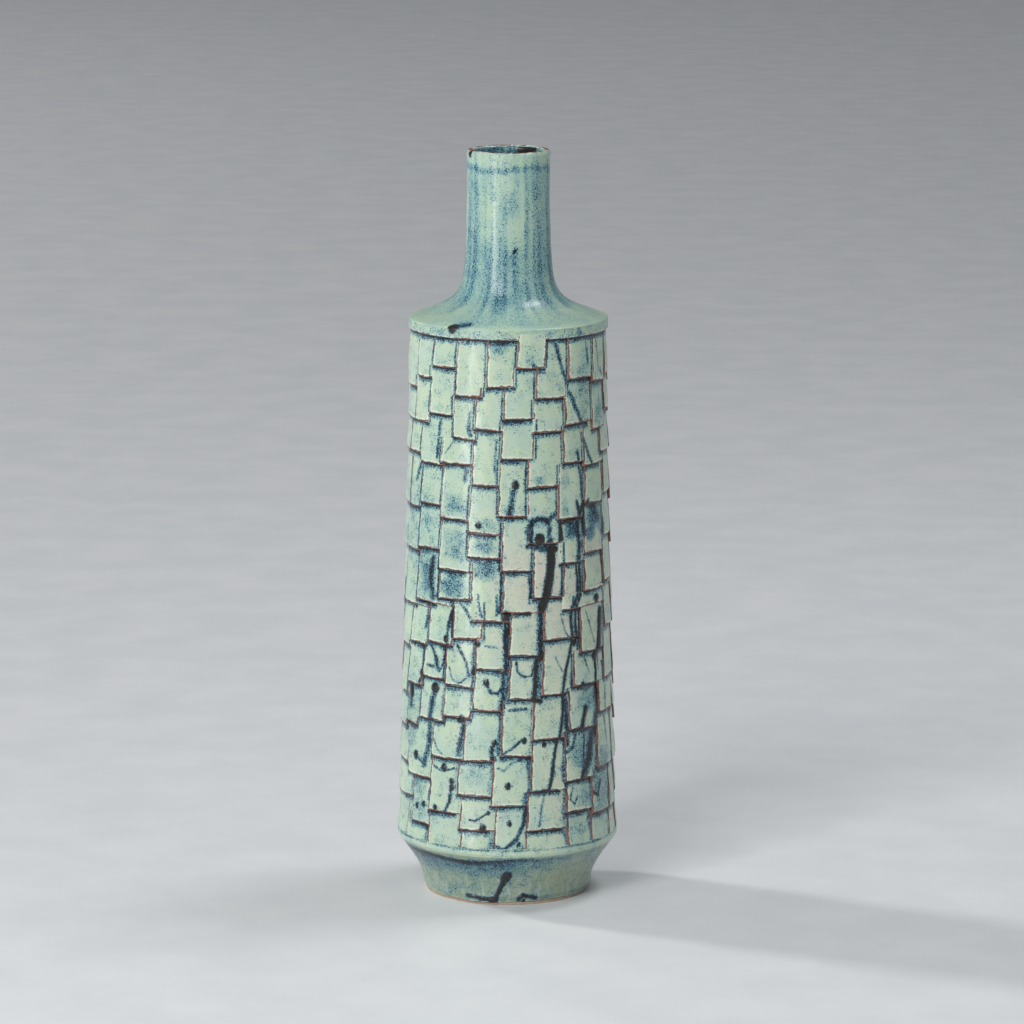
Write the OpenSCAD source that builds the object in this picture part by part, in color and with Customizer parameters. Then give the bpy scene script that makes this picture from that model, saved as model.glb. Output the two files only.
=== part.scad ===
// Tall stoneware bottle vase with lapped rectangular clay tiles on its body.
// Millimetres, +Z up. The origin is the centre of the foot's underside.
// Angles are in degrees round the axis: 0 faces -Y, and they grow towards +X.

/* [Overall] */
// Height from the table to the top of the lip
total_h = 380; // [372:1:396]
// Thickness of the clay wall
wall_t = 5; // [4:0.5:6]
// Depth of the stepped joint between two sections
rebate_h = 2.5; // [1.5:0.5:3]

/* [Foot] */
// Outer radius of the foot where it meets the table
foot_r = 41.6; // [40.5:0.1:42.5]
// Width of the ring that the vase stands on
foot_ring_w = 7; // [5:0.5:9]
// Height of the unglazed foot ring
foot_ring_h = 4.5; // [4:0.5:6]
// How far the underside is hollowed inside the foot ring
foot_recess = 3; // [1:0.5:3.5]
// Thickness of the vase's floor
floor_t = 6; // [5:0.5:8]

/* [Body] */
// Largest radius, at the smooth band under the tiles
widest_r = 56.2; // [55.6:0.1:57]
// Height of the largest radius
widest_z = 29.3; // [28:0.1:30]
// Height of the lowest edge of the tiles
field_bottom_z = 32.5; // [32:0.1:33]
// Height of the top edge of the tiles
field_top_z = 290.5; // [289:0.1:291]
// Height of the shoulder's sharp edge
shoulder_z = 295; // [294:0.1:296]
// Radius of the shoulder's sharp edge
shoulder_r = 50.3; // [49.9:0.1:50.7]

/* [Neck] */
// Height where the neck's long curve starts to run straight
neck_straight_z = 338; // [334:1:342]
// Outer radius of the neck at that height
neck_low_r = 21.3; // [21:0.1:22.4]
// Outer radius at the neck's waist
neck_waist_r = 20.8; // [20.5:0.1:21.8]
// Outer radius of the lip
lip_r = 21.3; // [21:0.1:22.3]
// Radius of the bore through the neck and the mouth
mouth_r = 17; // [15.5:0.1:17.5]
// Height of the rounded lip
lip_h = 4; // [3:0.5:6]

/* [Tiles] */
// Thickness of a tile at its top edge, which is pressed flat
tile_top_t = 0.9; // [0.6:0.1:1.2]
// Thickness of a tile at its bottom edge, which stands proud
tile_bottom_t = 2.2; // [1.6:0.1:2.4]
// Glaze-filled gap between neighbouring tiles
tile_gap = 0.7; // [0.4:0.1:1.2]

/* [Hidden] */
$fn = 120;
CURVE_STEPS = 10;

// The body wall's outer face under the tiles: [height, radius].
WALL = [[0, 54.9], [250, 48.6], [400, 48.2]];

// Layout of the tiles. Each list is one upright column, from the top down, and each pair is a tile:
// [height of its top edge, angle of its left edge]. A tile ends below where the next one starts, and
// on its right where the next column starts. The ten columns cover half of the vase, and the other
// half repeats them.
COLUMNS = [
    [[290, -83], [262, -84], [246, -92], [229, -90], [202, -92], [180, -94],
     [152, -82], [130, -86], [105, -88], [88, -98], [70, -98], [52, -97]],
    [[290, -65], [268, -66], [246, -74], [229, -72], [202, -75], [180, -78],
     [152, -66], [132, -68], [111, -70], [91, -84], [70, -84], [53, -81]],
    [[290, -47], [275, -50], [251, -59], [225, -57], [205, -59], [182, -59],
     [155, -48], [134, -52], [117, -54], [94, -66], [65, -60], [48, -66]],
    [[290, -31], [261, -34], [240, -40], [227, -39], [199, -40], [173, -41],
     [158, -31], [138, -35], [114, -36], [97, -43], [77, -45], [49, -46]],
    [[290, -13], [266, -18], [245, -21], [217, -22], [192, -22], [180, -20],
     [148, -14], [125, -18], [102, -23], [77, -27], [59, -25], [41, -25]],
    [[290, 6], [274, -1], [250, -3], [230, -4], [201, -3], [174, -2],
     [153, 2], [131, 1], [109, -3], [80, -7], [54, -6]],
    [[290, 22], [260, 15], [243, 16], [216, 12], [187, 14], [160, 21],
     [138, 20], [110, 15], [88, 13], [61, 11], [41, 11]],
    [[290, 37], [269, 34], [246, 33], [227, 31], [199, 31], [176, 33],
     [153, 44], [130, 39], [113, 35], [91, 32], [65, 33], [49, 33]],
    [[290, 57], [265, 56], [242, 48], [224, 50], [205, 48], [180, 48],
     [158, 66], [140, 65], [114, 58], [97, 56], [69, 50], [46, 50]],
    [[290, 75], [268, 72], [250, 66], [229, 69], [208, 68], [186, 66],
     [163, 83], [140, 82], [114, 77], [97, 75], [69, 70], [46, 68]],
];
HALF = len(COLUMNS);
COLUMN_COUNT = 2 * HALF;

// A tile's right edge ignores a neighbour that lies beside less than this height of it.
SHORT_STEP = 6;
// No tile is wider than this many degrees.
WIDEST_TILE = 25;

// Foot curve, from the foot ring up to the largest radius, with two handles that bend it.
RING_FLARE = 1.4;         // how much wider the foot ring is at its top
LOW_HANDLE = [0.1, 0.42]; // out from the ring's top, and up as a share of widest_z
HIGH_HANDLE = [6.4, 0.68]; // in from the largest radius, and up as a share of widest_z
foot_top_r = foot_r + RING_FLARE;
foot_curve = [
    [foot_top_r, foot_ring_h],
    [foot_top_r + LOW_HANDLE[0], LOW_HANDLE[1] * widest_z],
    [widest_r - HIGH_HANDLE[0], HIGH_HANDLE[1] * widest_z],
    [widest_r, widest_z],
];
// Share of the foot curve that belongs to the collar; the rest is the smooth band.
COLLAR_SHARE = 0.95;

// Shoulder and neck curve, from the shoulder's edge up to the straight part of the neck. Its two
// handles are given as [out from the neck, up from the shoulder's edge].
EDGE_ROUND = [0.3, 0.5];
DOME_HANDLE = [2, 10.6];
NECK_HANDLE = [1.1, 9];
neck_curve = [
    [shoulder_r - EDGE_ROUND[0], shoulder_z + EDGE_ROUND[1]],
    [neck_low_r + DOME_HANDLE[0], shoulder_z + DOME_HANDLE[1]],
    [neck_low_r + NECK_HANDLE[0], shoulder_z + NECK_HANDLE[1]],
    [neck_low_r, neck_straight_z],
];
// Share of that curve that belongs to the shoulder; the rest is the neck.
SHOULDER_SHARE = 0.72;

// Small bevels on the foot ring and on the two smooth bands.
RING_BEVEL = 0.6;
BAND_BEVEL = 0.8;
// The upper band and the shoulder part just under the shoulder's edge. The band's inner half stands
// higher, so that the shoulder sits down over it.
SEAM_DROP = 0.2;
SEAM_TONGUE = 0.4;
// The dome's inside: height of the straight bore below the neck's seam, its flare, and its flat rim.
BORE_RUN = 6;
BORE_FLARE = [5, 4.5];
INNER_RIM = 6;
// How far the lip overhangs the neck.
LIP_OVERHANG = 0.3;

lip_z = total_h - lip_h;
seam_z = shoulder_z - SEAM_DROP;
tongue_z = shoulder_z + SEAM_TONGUE;
floor_z = foot_recess + floor_t;
floor_r = foot_top_r - wall_t;

GLAZE = [0.69, 0.76, 0.70];
NECK_GLAZE = [0.56, 0.66, 0.62];
COLLAR_GLAZE = [0.40, 0.49, 0.47];
BARE_CLAY = [0.80, 0.74, 0.64];

function column_name(c) = str("tile_column_", c < 9 ? "0" : "", c + 1);

function wall_r(z) = lookup(z, WALL);

function bezier(p, t) =
    pow(1 - t, 3) * p[0] + 3 * pow(1 - t, 2) * t * p[1] + 3 * (1 - t) * t * t * p[2] + t * t * t * p[3];

// Points along a curve between two shares of it.
function curve_points(p, from, to) =
    [for (i = [0:CURVE_STEPS]) bezier(p, from + (to - from) * i / CURVE_STEPS)];

function arc_points(centre, r, from, to) =
    [for (i = [0:CURVE_STEPS]) let(a = from + (to - from) * i / CURVE_STEPS)
        centre + r * [cos(a), sin(a)]];

// Moves points towards the axis by one wall thickness.
function inset(points) = [for (p = points) p - [wall_t, 0]];

function reversed(points) = [for (i = [len(points) - 1:-1:0]) points[i]];

// Where the sections part, and the radius half way through the wall there.
collar_end = bezier(foot_curve, COLLAR_SHARE);
shoulder_end = bezier(neck_curve, SHOULDER_SHARE);
function mid_wall(r) = r - wall_t / 2;

// Unglazed ring that the vase stands on.
module foot_ring() {
    inner = foot_r - foot_ring_w;
    color(BARE_CLAY)
    rotate_extrude()
    polygon([
        [inner, RING_BEVEL], [inner + RING_BEVEL, 0], [foot_r - RING_BEVEL, 0], [foot_r, RING_BEVEL],
        [foot_top_r, foot_ring_h], [inner, foot_ring_h],
    ]);
}

// Floor of the vase. It rests on the foot ring and fills its hollow down to the recess.
module base_floor() {
    inner = foot_r - foot_ring_w;
    color(BARE_CLAY)
    rotate_extrude()
    polygon([[0, foot_recess], [inner, foot_recess], [inner, foot_ring_h],
             [floor_r, foot_ring_h], [floor_r, floor_z], [0, floor_z]]);
}

// Waisted collar between the foot and the body.
module foot_collar() {
    outer = curve_points(foot_curve, 0, COLLAR_SHARE);
    inner = [for (p = inset(outer)) if (p[1] > floor_z) p];
    middle = mid_wall(collar_end[0]);
    tongue = [[middle, collar_end[1]], [middle, collar_end[1] + rebate_h],
              [collar_end[0] - wall_t, collar_end[1] + rebate_h]];
    color(COLLAR_GLAZE)
    rotate_extrude()
    polygon(concat(outer, tongue, reversed(inner), [[floor_r, floor_z], [floor_r, foot_ring_h]]));
}

// Smooth band at the largest radius, under the tiles.
module lower_band() {
    low_z = collar_end[1];
    low_inner = collar_end[0] - wall_t;
    low_middle = mid_wall(collar_end[0]);
    wall = wall_r(field_bottom_z);
    color(GLAZE)
    rotate_extrude()
    polygon(concat(
        curve_points(foot_curve, COLLAR_SHARE, 1),
        [[widest_r, field_bottom_z - BAND_BEVEL], [widest_r - BAND_BEVEL, field_bottom_z],
         [mid_wall(wall), field_bottom_z], [mid_wall(wall), field_bottom_z + rebate_h],
         [wall - wall_t, field_bottom_z + rebate_h], [wall - wall_t, field_bottom_z],
         [low_inner, low_z + rebate_h], [low_middle, low_z + rebate_h], [low_middle, low_z]]
    ));
}

// Tapered tube that the tiles are pressed onto.
module body_wall() {
    low = wall_r(field_bottom_z);
    high = wall_r(field_top_z);
    knee = WALL[1];
    color(GLAZE)
    rotate_extrude()
    polygon([
        [mid_wall(low), field_bottom_z], [low, field_bottom_z], [knee[1], knee[0]],
        [high, field_top_z], [mid_wall(high), field_top_z], [mid_wall(high), field_top_z + rebate_h],
        [high - wall_t, field_top_z + rebate_h], [knee[1] - wall_t, knee[0]],
        [low - wall_t, field_bottom_z + rebate_h], [mid_wall(low), field_bottom_z + rebate_h],
    ]);
}

// Smooth band between the tiles and the shoulder's edge.
module upper_band() {
    wall = wall_r(field_top_z);
    color(GLAZE)
    rotate_extrude()
    polygon([
        [mid_wall(wall), field_top_z], [shoulder_r - BAND_BEVEL, field_top_z],
        [shoulder_r, field_top_z + BAND_BEVEL], [shoulder_r, seam_z],
        [mid_wall(wall), seam_z], [mid_wall(wall), tongue_z],
        [wall - wall_t, tongue_z], [wall - wall_t, field_top_z + rebate_h],
        [mid_wall(wall), field_top_z + rebate_h],
    ]);
}

// Shallow dome that turns up into the neck.
module shoulder() {
    wall = wall_r(field_top_z);
    outer = curve_points(neck_curve, 0, SHOULDER_SHARE);
    end_r = shoulder_end[0];
    end_z = shoulder_end[1];
    middle = (end_r + mouth_r) / 2;
    inside = [
        [mouth_r, end_z + rebate_h], [mouth_r, end_z - BORE_RUN],
        [mouth_r + BORE_FLARE[0], shoulder_z + BORE_FLARE[1]], [wall - wall_t - INNER_RIM, tongue_z],
    ];
    color(NECK_GLAZE)
    rotate_extrude()
    polygon(concat(
        [[mid_wall(wall), seam_z], [shoulder_r, seam_z]],
        outer,
        [[middle, end_z], [middle, end_z + rebate_h]],
        inside,
        [[mid_wall(wall), tongue_z]]
    ));
}

// Tall neck with a straight bore.
module neck() {
    end_z = shoulder_end[1];
    middle = (shoulder_end[0] + mouth_r) / 2;
    waist_z = (neck_straight_z + lip_z) / 2;
    color(NECK_GLAZE)
    rotate_extrude()
    polygon(concat(
        [[middle, end_z]],
        curve_points(neck_curve, SHOULDER_SHARE, 1),
        [[neck_waist_r, waist_z], [lip_r - LIP_OVERHANG, lip_z],
         [mouth_r, lip_z], [mouth_r, end_z + rebate_h], [middle, end_z + rebate_h]]
    ));
}

// Rounded lip at the mouth.
module lip() {
    round_r = (lip_r - mouth_r) / 2;
    centre = [mouth_r + round_r, total_h - round_r];
    color(NECK_GLAZE)
    rotate_extrude()
    polygon(concat([[mouth_r, lip_z], [lip_r - LIP_OVERHANG, lip_z]], arc_points(centre, round_r, 0, 180)));
}

function tile_top(c, i) = min(COLUMNS[c % HALF][i][0], field_top_z - tile_gap);

function tile_left(c, i) = COLUMNS[c % HALF][i][1] + 180 * floor(c / HALF);

function tile_bottom(c, i) =
    i + 1 < len(COLUMNS[c % HALF]) ? COLUMNS[c % HALF][i + 1][0] + tile_gap : field_bottom_z + tile_gap;

// Numbers of the next column's tiles that lie beside a tile.
function tiles_beside(c, i) =
    [for (j = [0:len(COLUMNS[(c + 1) % HALF]) - 1])
        if (tile_top(c + 1, j) + tile_gap > tile_bottom(c, i))
            if (tile_bottom(c + 1, j) - tile_gap < tile_top(c, i)) j];

// Wedge from one height to another, flat on the wall. It thickens from the tile's top edge down.
module tile_piece(c, i, low, high, right) {
    top = tile_top(c, i);
    bottom = tile_bottom(c, i);
    function thickness(z) = tile_top_t + (tile_bottom_t - tile_top_t) * (top - z) / (top - bottom);
    knee = [for (s = WALL) if (s[0] > low && s[0] < high) [s[1], s[0]]];
    half_gap = tile_gap / 2 / wall_r(top) * 180 / PI;
    from = tile_left(c, i) + half_gap;
    to = min(right, tile_left(c, i) + WIDEST_TILE) - half_gap;
    rotate([0, 0, from - 90])
    rotate_extrude(angle = to - from)
    polygon(concat(
        [[wall_r(low), low]],
        knee,
        [[wall_r(high), high], [wall_r(high) + thickness(high), high], [wall_r(low) + thickness(low), low]]
    ));
}

// One tile. Its right edge steps in and out with the tiles of the next column.
module tile(c, i) {
    beside = tiles_beside(c, i);
    narrow = min([for (j = beside) tile_left(c + 1, j)]);
    for (j = beside) {
        high = j == beside[0] ? tile_top(c, i) : COLUMNS[(c + 1) % HALF][j][0];
        low = j == beside[len(beside) - 1] ? tile_bottom(c, i) : COLUMNS[(c + 1) % HALF][j + 1][0];
        right = high - low < SHORT_STEP ? narrow : tile_left(c + 1, j);
        if (high > low) tile_piece(c, i, low, high, right);
    }
}

// One upright column of tiles.
module tile_column(c) {
    color(GLAZE)
    for (i = [0:len(COLUMNS[c % HALF]) - 1]) tile(c, i);
}

foot_ring();
base_floor();
foot_collar();
lower_band();
body_wall();
upper_band();
shoulder();
neck();
lip();
for (c = [0:COLUMN_COUNT - 1]) tile_column(c);
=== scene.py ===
"""Looks of a tall stoneware bottle vase with lapped clay tiles under a celadon glaze.

Lengths are in millimetres until a mesh is made. Angles are in degrees round the axis: 0 faces the
camera (-Y), and they grow towards +X. A tile's own height is measured outwards from the body wall.
"""
import math

import bpy
import numpy as np
from mathutils import Matrix, Vector


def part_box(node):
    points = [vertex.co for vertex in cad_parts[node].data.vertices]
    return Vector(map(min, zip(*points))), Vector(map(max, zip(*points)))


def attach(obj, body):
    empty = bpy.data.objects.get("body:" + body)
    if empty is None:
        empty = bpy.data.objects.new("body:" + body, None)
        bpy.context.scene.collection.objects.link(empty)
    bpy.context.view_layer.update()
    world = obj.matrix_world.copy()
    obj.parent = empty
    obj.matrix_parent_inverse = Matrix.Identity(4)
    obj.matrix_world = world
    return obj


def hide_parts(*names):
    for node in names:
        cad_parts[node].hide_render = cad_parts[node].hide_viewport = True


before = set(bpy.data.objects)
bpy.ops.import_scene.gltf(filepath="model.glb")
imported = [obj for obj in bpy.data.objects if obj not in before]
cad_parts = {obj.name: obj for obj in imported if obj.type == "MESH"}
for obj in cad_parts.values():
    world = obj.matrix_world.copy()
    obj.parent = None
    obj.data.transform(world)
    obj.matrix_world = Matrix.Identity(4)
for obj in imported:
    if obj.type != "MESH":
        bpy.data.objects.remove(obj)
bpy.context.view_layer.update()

MM = 0.001
FULL_TURN = 360.0


def top_of(node):
    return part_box(node)[1].z / MM


def bottom_of(node):
    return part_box(node)[0].z / MM


def radius_of(node):
    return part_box(node)[1].x / MM


# ---- sizes

FIELD_TOP = bottom_of("upper_band")
FIELD_BOTTOM = bottom_of("body_wall")
SHOULDER_Z = bottom_of("shoulder")
SHOULDER_R = radius_of("shoulder")
WIDEST_R = radius_of("lower_band")
FOOT_R = radius_of("foot_ring")
FOOT_RING_TOP = top_of("foot_ring")
TOTAL_H = top_of("lip")
LIP_Z = bottom_of("lip")
LIP_R = radius_of("lip")

# The CAD's own values for what its boxes don't give.
MOUTH_R = 17.0
WALL_T = 5.0
WIDEST_Z = 29.3
RING_W = 7.0                                    # width of the foot ring's standing face
NECK_STRAIGHT_Z = 338.0                         # where the shoulder's curve ends
NECK_LOW_R = 21.3
NECK_WAIST = [[20.8, 357.0], [20.9, 367.0]]     # radius and height
WALL_Z = [0, 250, 400]                          # the body wall's outer face: heights
WALL_R = [54.9, 48.6, 48.2]                     # and radii

TOP_T = 0.7          # height of a tile at its sunk top edge
RISE = 1.2           # how much further out its bottom edge stands
TILT = 0.6           # how much further out its left edge stands than its right edge
EDGE_R = 0.65        # rounding of a tile's edge
SKIRT = -0.3         # how far a tile's sides go into the wall
TUCK = 1.4           # how far a tile goes under a neighbour that laps it
STEP = 0.5           # spacing of a tile's mesh
BAND_T = 2.0         # height of the smooth bands
BURIED = 9.0         # how far the lowest tiles' bottom edges lie behind the lower band

# ---- tile layout

# Ten upright columns cover half of the vase, and the other half repeats them. Each tile, from the
# top down: (top edge, left edge, right edge) and, where needed, its bottom edge. Without one it
# ends where the next tile starts. The lapping follows from the heights: a tile's lower part lies
# over its neighbours' upper parts.
COLUMNS = [
    [(290, -83, -66), (262, -84, -66), (246, -92, -74), (229, -90, -72), (202, -92, -75),
     (180, -94, -78), (152, -82, -66), (130, -86, -69), (105, -88, -69), (88, -98, -84),
     (70, -98, -84), (52, -97, -81)],
    [(290, -63, -49), (268.5, -66, -51), (246, -75, -60), (229.5, -73, -58), (202, -75, -59),
     (180, -78, -60), (152, -65, -49), (133, -68, -52), (111.5, -70, -55.5), (91, -84, -66),
     (70, -84, -61), (53, -81, -66)],
    [(290, -47, -31), (275, -50, -33), (251, -59, -40.5), (225.5, -57.5, -40), (205, -59, -42),
     (182.5, -59, -42), (155, -48, -31, 135), (133.5, -52, -36), (117, -54.5, -36, 95.5),
     (94, -66, -44), (65, -60, -46.5, 41), (48, -66, -47)],
    [(290, -30.5, -14), (261.5, -33, -18.5), (240, -40.5, -22), (227, -39.5, -22),
     (199, -40.5, -23), (173, -41, -21), (158.5, -31, -13.5), (139, -35.5, -19, 114.5),
     (114.5, -36, -19), (98.5, -43.5, -24), (77, -45, -27.5), (49, -46, -26)],
    [(290, -12, 4), (266.5, -18.5, -2), (245, -20.5, -5), (217, -21.5, -6), (192.5, -22.5, -4),
     (180.5, -20.5, -3), (148.5, -17.5, -0.5, 124), (125, -18, -3.5), (103, -23.5, -7.5),
     (77, -27.5, -8), (59, -25, -8.5), (41.5, -25, -8.5)],
    [(292, 6, 22.5), (276, -1.5, 16), (250.5, -3.5, 15.5), (230.5, -5, 11), (201.5, -3, 13),
     (174, -2.5, 13.5, 153), (160, 2, 20, 131), (131, 1.5, 18), (109, -3, 14), (80, -7.5, 12),
     (54.5, -6.5, 9.5)],
    [(290, 16.5, 36), (260.5, 14.5, 33.5), (243.5, 12, 30.5), (216, 11, 29), (187.5, 14.5, 32),
     (160, 20.5, 38), (138.5, 20, 35), (110.5, 14.5, 32), (88, 13, 30), (61.5, 10.5, 30.5),
     (41.5, 9.5, 30.5)],
    [(290, 37, 56), (269, 34.5, 53), (246.5, 33, 47.5), (227, 30, 47), (199, 31, 46),
     (176.5, 32.5, 47, 153), (158, 44, 66, 130), (130, 38.5, 57), (113, 35, 57.5),
     (91, 32.5, 54), (65, 33, 49), (49, 33, 49)],
    [(290, 58, 73), (266, 56.5, 73, 242), (246, 48.5, 66), (224.5, 49.5, 68), (205, 47.5, 67),
     (180, 48, 67), (161, 67, 84), (140, 65.5, 82, 114), (129, 58.5, 77), (97, 57, 74),
     (69, 51, 69), (46, 50, 68)],
    [(290, 75, 95), (268, 73, 94), (250, 66, 88), (229, 70, 89), (208, 68, 87), (186, 67, 85),
     (163, 84, 98), (140, 83, 96), (114, 78, 93), (97, 75, 90), (69, 70, 82), (46, 69, 83)],
]
HALF = len(COLUMNS)
COLUMN_COUNT = 2 * HALF
FLUSH_TILE = (5, 0)  # the one tile that flows out of the upper band: column, place

# ---- glaze marks

# Thick black drips: points (angle, height), with the width in millimetres.
BLACK_RUNS = [
    ([(25, 185), (24.5, 176), (23, 167), (21, 159)], 4.0),
    ([(21, 159), (19, 154)], 3.0),
    ([(18.5, 132), (17.5, 129)], 2.8),
    ([(15.5, 128), (15, 118), (14, 109)], 1.6),
    ([(13, 108.5), (18, 107.5)], 1.6),
    ([(62.5, 149), (61, 140), (59.5, 131), (56, 127)], 4.2),
    ([(56.5, 127), (56, 119), (55, 112), (46, 113), (42, 112)], 1.5),
    ([(47, 101), (45, 96), (44, 91), (38, 90.5)], 2.0),
    ([(41.5, 176), (42.3, 168), (42, 160), (38.5, 155)], 0.9),
    ([(44, 176), (44.6, 168), (44, 160), (40.5, 154)], 0.9),
    ([(37.5, 154), (37, 146), (38, 137)], 1.0),
    ([(40.5, 153), (40, 145), (40.5, 136)], 1.0),
    ([(38, 137), (36, 130), (33, 122), (31, 112), (31.5, 104), (30, 94), (28.5, 88)], 1.1),
    ([(28, 87), (26.5, 83), (25, 76), (24, 69), (22, 62), (14, 61.5)], 1.0),
    ([(30.5, 197), (31, 189)], 1.4),
    ([(42, 207), (44, 200), (47, 207), (47.5, 190)], 1.3),
    ([(31, 197), (36, 198), (42, 198)], 1.2),
    ([(51, 207), (47, 204)], 1.1),
    ([(45, 70), (43, 65), (41, 64)], 1.8),
    ([(-25, 98), (-27, 97)], 2.0),
    ([(-18, 125), (-19, 122)], 1.4),
    ([(-1, 153), (-2, 150)], 2.0),
    ([(-1, 124), (-3, 122.5)], 1.6),
]

# Beads: (angle, height, radius).
BEADS = [
    (4.2, 217.5, 1.9), (17.8, 190, 2.7), (-16.5, 197, 1.4), (-35.5, 138, 1.6), (-1.3, 151.5, 1.8),
    (-43, 112, 2.6), (-65, 108.5, 2.1), (-64.5, 106, 2.1), (-53.8, 118, 1.5), (-11.5, 117.5, 1.5),
    (-57.5, 75.5, 1.9), (-36, 72, 1.7), (-31, 65.5, 1.3), (-30.8, 62.5, 1.3), (0.2, 64.8, 1.5),
    (1.2, 45.5, 1.2), (-12.8, 43.2, 1.6), (-41, 51, 1.2), (-25, 98, 1.7), (47, 101, 1.5),
    (18, 130, 1.9), (20, 158, 2.2), (39.5, 135.5, 1.5), (26, 87, 1.3), (20, 85.5, 1.3),
    (-7, 87, 1.3), (-16.5, 137, 1.3), (-55.5, 49.5, 1.1), (-50, 51, 1.0), (9, 88, 1.3),
    (44.5, 113, 1.8), (58, 156, 2.2), (-10, 51, 0.9), (-34.5, 134.5, 1.2), (6, 35, 0.8),
    (27.5, 184.5, 1.6), (-62.5, 132, 1.1), (-33.5, 295.2, 2.4),
]

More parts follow.
